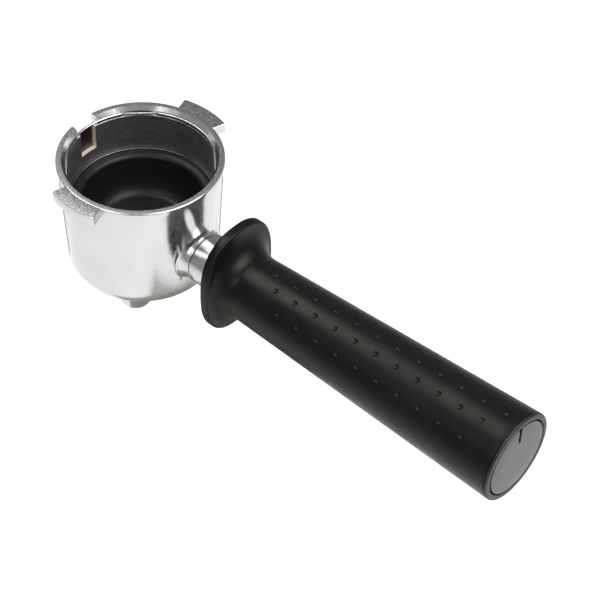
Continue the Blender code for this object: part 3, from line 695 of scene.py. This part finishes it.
def model_spout(chrome):
    """The outlet's flange and cone with a nozzle to each side, bored through."""
    spread_y = 5.6 * MM
    tip_radius, root_radius, bore = 5.85 * MM, 6.45 * MM, 3.5 * MM
    flange_radius, flange = spout_high.x, 3.2 * MM
    screw_hole = 4.2 * MM
    chamber_z = spout_high.z - 6.6 * MM
    edge = 0.4 * MM
    top, tip = spout_high.z, spout_low.z
    outline = [(top, screw_hole), (top, flange_radius - edge), (top - edge, flange_radius),
               (top - flange + edge, flange_radius), (top - flange, flange_radius - edge),
               (top - 1.6 * flange, root_radius), (chamber_z, tip_radius),
               (chamber_z, screw_hole), (top, screw_hole)]
    spout = turned("twin_spout_visual", outline, 96)
    for side in (1, -1):
        nozzle = turned("nozzle_tool", [(top - flange / 2, root_radius),
                                        (tip + edge, tip_radius),
                                        (tip + edge / 3, tip_radius - edge / 3),
                                        (tip, tip_radius - edge)], 72)
        nozzle.data.transform(Matrix.Translation((0, side * spread_y, 0)))
        shape_with(spout, nozzle, "UNION")
    for side in (1, -1):
        drill = turned("nozzle_drill", [(top - flange, bore), (tip - MM, bore)], 48)
        drill.data.transform(Matrix.Translation((0, side * spread_y, 0)))
        shape_with(spout, drill, "DIFFERENCE")
    channel = turned("channel_tool", [(top + MM, screw_hole), (chamber_z, screw_hole)], 48)
    shape_with(spout, channel, "DIFFERENCE")
    shade(spout, 30)
    place(spout, "holder", chrome)


# ---- neck --------------------------------------------------------------------------------

def model_neck(chrome, rubber):
    """The gasket, seen as a thin line, and the collar that clamps it."""
    recess, slack, flare = 0.25 * MM, 0.02 * MM, 0.6 * MM
    pin_reach = 4 * MM
    radius = BOSS_RADIUS - recess
    edge = 0.08 * MM
    start = NECK_JOINT_X - NECK_LINE / 2 + slack
    end = NECK_JOINT_X + NECK_LINE / 2 - slack
    gasket = turned("neck_gasket_visual",
                    [(start, STUD_BORE), (start, radius - edge), (start + edge, radius),
                     (end - edge, radius), (end, radius - edge), (end, STUD_BORE),
                     (start, STUD_BORE)], 72, along_x=True)
    shape_with(gasket, pin_drill(start - MM, end + MM), "DIFFERENCE")
    shade(gasket)
    place(gasket, "holder", rubber)

    start, end = NECK_JOINT_X + NECK_LINE / 2, collar_high.x
    end_radius = collar_high.y
    radius = end_radius - flare
    edge = 0.3 * MM
    collar = turned("neck_collar_visual",
                    [(start, STUD_BORE)]
                    + corner(start + edge, radius - edge, edge, -90, 0, 4)
                    + [(end - edge, end_radius - slack), (end, end_radius - edge),
                       (end, STUD_BORE), (start, STUD_BORE)], 96, along_x=True)
    shape_with(collar, pin_drill(start - MM, start + pin_reach), "DIFFERENCE")
    shade(collar)
    place(collar, "holder", chrome)


# ---- grip --------------------------------------------------------------------------------

def grip_radius(x):
    """The round taper's radius."""
    share = (x - GRIP_X) / (GRIP_END_X - GRIP_X)
    return GRIP_START_RADIUS + (GRIP_END_RADIUS - GRIP_START_RADIUS) * share


def skin_point(x, angle):
    """Where the grip's skin is: the guard's oval, its fillet, then the round taper."""
    back_x = GRIP_X + GUARD_THICK
    end_edge = GUARD_EDGE / 2
    past_end = max(x - GRIP_END_X + end_edge, 0)
    round_radius = grip_radius(x) - end_edge + sqrt(end_edge ** 2 - past_end ** 2)
    inset = 0.0
    if x < GRIP_X + GUARD_EDGE:
        inset = GUARD_EDGE - sqrt(max(GUARD_EDGE ** 2 - (GRIP_X + GUARD_EDGE - x) ** 2, 0))
    elif x > back_x - GUARD_EDGE:
        past = min(x - back_x + GUARD_EDGE, GUARD_EDGE)
        inset = GUARD_EDGE - sqrt(GUARD_EDGE ** 2 - past ** 2)
    share = 0.0
    if x > back_x:
        share = sin(acos(max(1 - (x - back_x) / GUARD_FILLET, 0)))
    across, up = cos(angle), sin(angle)
    half_w, half_h = GUARD_HALF_WIDTH - inset, GUARD_HALF_HEIGHT - inset
    stretch = (abs(across / half_w) ** GUARD_POWER
               + abs(up / half_h) ** GUARD_POWER) ** (-1 / GUARD_POWER)
    oval = Vector((across * stretch, up * stretch + GUARD_RAISE))
    circle = Vector((across, up)) * round_radius
    ring = oval.lerp(circle, share)
    return Vector((x, ring.x, HANDLE_Z + ring.y))


def grip_stations():
    """Where the skin's rings stand: close together round the guard's edges and fillet."""
    back_x = GRIP_X + GUARD_THICK
    fillet, barrel = 16, 60
    turns = [pi / 2 * i / 5 for i in range(6)]
    stations = [GRIP_X + GUARD_EDGE * (1 - cos(t)) for t in turns]
    stations += [back_x - GUARD_EDGE + GUARD_EDGE * sin(t) for t in turns]
    stations += [back_x + GUARD_FILLET * (1 - cos(pi / 2 * i / fillet))
                 for i in range(1, fillet + 1)]
    start = back_x + GUARD_FILLET
    end = GRIP_END_X - GUARD_EDGE / 2
    stations += [start + (end - start) * i / barrel for i in range(1, barrel + 1)]
    stations += [end + (GRIP_END_X - end) * sin(t) for t in turns[1:]]
    return stations


def dimples():
    """Five staggered rows of shallow round dimples along the grip's upper side."""
    pitch = 9.6 * MM
    rows = [(0, 68.9 * MM, 12), (22.5, 73.0 * MM, 11), (-22.5, 73.0 * MM, 11),
            (50, 79.1 * MM, 10), (-50, 79.1 * MM, 10)]
    ball = 1.5 * MM
    sink = 0.55 * MM
    made = []
    for turn, first, count in rows:
        for i in range(count):
            x = first + pitch * i
            reach = grip_radius(x) + ball - sink
            bpy.ops.object.select_all(action="DESELECT")
            bpy.ops.mesh.primitive_uv_sphere_add(
                segments=20, ring_count=12, radius=ball,
                location=(x, reach * sin(radians(turn)),
                          HANDLE_Z + reach * cos(radians(turn))))
            made.append(bpy.context.object)
    bpy.ops.object.select_all(action="DESELECT")
    for each in made:
        each.select_set(True)
    bpy.context.view_layer.objects.active = made[0]
    bpy.ops.object.join()
    bpy.ops.object.transform_apply()
    return bpy.context.object


def model_grip(rubber):
    """The soft sleeve over the core: guard, taper and dimples, open at its end."""
    stations = grip_stations()
    sleeve = turned("grip_sleeve_visual", [(x, GRIP_END_RADIUS) for x in stations], 144,
                    along_x=True)
    for point in sleeve.data.vertices:
        angle = atan2(point.co.z - HANDLE_Z, point.co.y)
        point.co = skin_point(point.co.x, angle)
    core_gap, ring_gap, skirt_gap = 2.3 * MM, 0.6 * MM, 1.2 * MM
    step_x = ring_low.x - ring_gap
    skirt_room = disc_high.y + skirt_gap
    room = turned("core_room_tool", [
        (GRIP_X - MM, grip_radius(GRIP_X) - core_gap),
        (step_x, grip_radius(step_x) - core_gap), (step_x, skirt_room),
        (GRIP_END_X + MM, skirt_room)], 96, along_x=True)
    shape_with(sleeve, room, "DIFFERENCE")
    shape_with(sleeve, dimples(), "DIFFERENCE")
    shade(sleeve, 32)
    place(sleeve, "holder", rubber)


def model_handle_end(ring_plastic, disc_plastic, gap_shade):
    """The ring round the handle's end and the disc in it. The ring's sides and the
    disc's slot take the dark rubber: painted shade."""
    gap, skirt = 0.3 * MM, 0.6 * MM
    mouth, sunk = 0.2 * MM, 0.05 * MM
    disc_radius = disc_high.y
    skirt_inner = disc_radius + gap
    skirt_outer = skirt_inner + skirt
    edge = 0.8 * MM
    lip_x, face_x = GRIP_END_X + gap, disc_high.x - sunk
    outline = [(ring_low.x, skirt_inner), (ring_low.x, skirt_outer), (lip_x, skirt_outer),
               (lip_x, GRIP_END_RADIUS)]
    outline += corner(face_x - edge, GRIP_END_RADIUS - edge, edge, 0, 90, 8)
    outline += [(face_x, skirt_inner + mouth), (face_x - mouth, skirt_inner),
                (ring_low.x, skirt_inner)]
    ring = turned("end_ring_visual", outline, 128, along_x=True)
    shade(ring)
    place(ring, "holder", ring_plastic, gap_shade)
    # painted shade: the ring's inner and outer sides take the dark rubber
    for face in ring.data.polygons:
        face.material_index = int(abs(face.normal.x) < 0.25)

    edge = 0.2 * MM
    disc_radius -= gap
    disc = turned("end_disc_visual", [(disc_low.x, disc_radius)]
                  + corner(disc_high.x - edge, disc_radius - edge, edge, 0, 90, 4)
                  + [(disc_high.x, disc_radius / 2)], 128, along_x=True)
    notch, notch_width, notch_depth = 7 * MM, 1.4 * MM, 0.8 * MM
    slot = block("slot_tool", (disc_high.x - notch_depth, -notch_width / 2,
                               HANDLE_Z + disc_radius - notch),
                 (disc_high.x + MM, notch_width / 2, HANDLE_Z + disc_radius + MM))
    shape_with(disc, slot, "DIFFERENCE")
    shade(disc)
    place(disc, "holder", disc_plastic, gap_shade)
    # painted shade: the faces inside the disc's slot take the dark rubber
    for face in disc.data.polygons:
        across, up = abs(face.center.y), face.center.z - HANDLE_Z
        inside = across < notch_width and disc_radius - notch < up < disc_radius - edge
        face.material_index = int(inside and face.normal.x < 0.9)


# ---- pieces inside the cup and the handle --------------------------------------------------

def dress_inner_pieces(zinc, rubber, plastic):
    """The frame's own pieces that stay: screw, stud and its nut, core, plug, seals."""
    finishes = {"spout_screw": zinc, "locating_pin": zinc, "handle_stud": zinc,
                "stud_washer": zinc, "lock_washer": zinc, "stud_nut": zinc,
                "spout_seal": rubber, "insert_seal": rubber, "plug_seal": rubber,
                "grip_core": plastic, "end_plug": plastic}
    for name, finish in finishes.items():
        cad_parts[name].data.materials[0] = finish


# ---- studio --------------------------------------------------------------------------------

def soft_light(name, place, size, watts):
    """A square white softbox aimed at the piece's middle."""
    aim = Vector((0.06, 0, -0.03))
    light = bpy.data.lights.new(name, "AREA")
    light.shape = "SQUARE"
    light.size = size
    light.energy = watts
    lamp = bpy.data.objects.new(name, light)
    bpy.context.scene.collection.objects.link(lamp)
    lamp.location = place
    lamp.rotation_euler = (Vector(place) - aim).to_track_quat("Z", "Y").to_euler()


def card(name, where, size, turn, finish):
    """A card that only shows in reflections, to draw the chrome's edges with painted
    reflections.
    """
    bpy.ops.object.select_all(action="DESELECT")
    bpy.ops.mesh.primitive_plane_add(size=1, location=where, rotation=turn)
    card = bpy.context.object
    card.name = name
    card.scale = (*size, 1)
    bpy.ops.object.transform_apply()
    card.data.materials.append(finish)
    card.visible_camera = False
    card.visible_diffuse = False
    card.visible_shadow = False


def build_studio():
    """A white sweep, even air, three softboxes, and four cards that only show in
    reflections: painted reflections of shade, and a glowing stripe by the neck."""
    bpy.ops.object.select_all(action="DESELECT")
    bpy.ops.mesh.primitive_plane_add(size=8, location=(0, 0, -0.30))
    sweep = bpy.context.object
    sweep.name = "studio_floor"
    bpy.ops.object.transform_apply()
    sweep.data.materials.append(pale_paper())

    world = bpy.data.worlds.new("studio_air")
    bpy.context.scene.world = world
    world.use_nodes = True
    back = world.node_tree.nodes["Background"]
    back.inputs["Color"].default_value = (1, 1, 1, 1)
    back.inputs["Strength"].default_value = 0.38

    soft_light("key_softbox", (0.66, 0.12, 0.80), 0.9, 15)
    soft_light("edge_softbox", (-0.42, -0.05, 0.80), 0.55, 5.5)
    soft_light("front_softbox", (0.1, -1.1, 0.9), 0.7, 5)
    # painted shade: grey cards under the cup, behind it and at the guard, seen only in
    # reflections
    card("under_card", (0.034, -0.005, -0.095), (0.074, 0.08), (0, 0, 0),
         reflection_card_grey("shade_reflection_card_warm", "#a39f97", "#aeaaa1"))
    card("back_card", (-0.075, 0.072, -0.085), (0.15, 0.15), (pi / 2, 0, pi / 4),
         reflection_card_grey("shade_reflection_card_grey", "#6f6c66", "#7a776f"))
    card("guard_card", (GRIP_X - 0.5 * MM, 0, -18 * MM), (36 * MM, 26 * MM),
         (pi / 2, 0, pi / 2), reflection_card_grey("shade_reflection_card_cool", "#68686f", "#74747b"))
    # painted highlight: the glowing card by the neck draws a bright stripe in the cup's wall
    neck_card = ((34 * MM, -5.2 * MM, -12.5 * MM), (5 * MM, 17 * MM),
                 (pi / 2, radians(-13.8), pi / 2))
    card("neck_card", *neck_card, glowing_reflection_card(*neck_card))


def set_tones():
    """Tones as they fall on the sensor, so that the white sweep stays white."""
    bpy.context.scene.view_settings.view_transform = "Standard"


def place_camera():
    """Above and to the right of the cup, a long lens from under a metre away."""
    data = bpy.data.cameras.new("camera")
    data.sensor_width = 36.0
    data.lens = 125.17
    camera = bpy.data.objects.new("camera", data)
    bpy.context.scene.collection.objects.link(camera)
    camera.location = (0.42241, -0.41215, 0.52497)
    camera.rotation_euler = (radians(44.387), radians(-1.342), radians(41.055))
    bpy.context.scene.camera = camera


# ---- assembly ------------------------------------------------------------------------------

chrome = polished_chrome()
satin = turned_chrome()
zinc = zinc_plate()
rubber = seal_rubber()
core = moulded_plastic("polypropylene_core", "#1c1c1c", "#262626", 0.5, 0.8 * MM)
ring_grey = moulded_plastic("moulded_ring_grey", "#151413", "#1e1d1b", 0.42, 0.5 * MM)
disc_grey = moulded_plastic("satin_grey_disc", "#444342", "#4e4d4c", 0.38, 0.5 * MM)

# the bore painted dark as painted reflection, the pocket's sides pale as painted highlight,
# the recess darker as painted shade
model_cup(chrome, satin, bored_wall("bored_chrome_painted_reflection", "#9b9b9f", "#b2b2b6"),
          painted_highlight_edges(), bored_wall("recess_painted_shade", "#3c3c3e", "#505052"))
model_spring(spring_wire())
model_insert(moulded_nylon())
model_spout(chrome)
model_neck(chrome, rubber)
model_grip(soft_touch())
model_handle_end(ring_grey, disc_grey, rubber)
dress_inner_pieces(zinc, rubber, core)
build_studio()
set_tones()
place_camera()
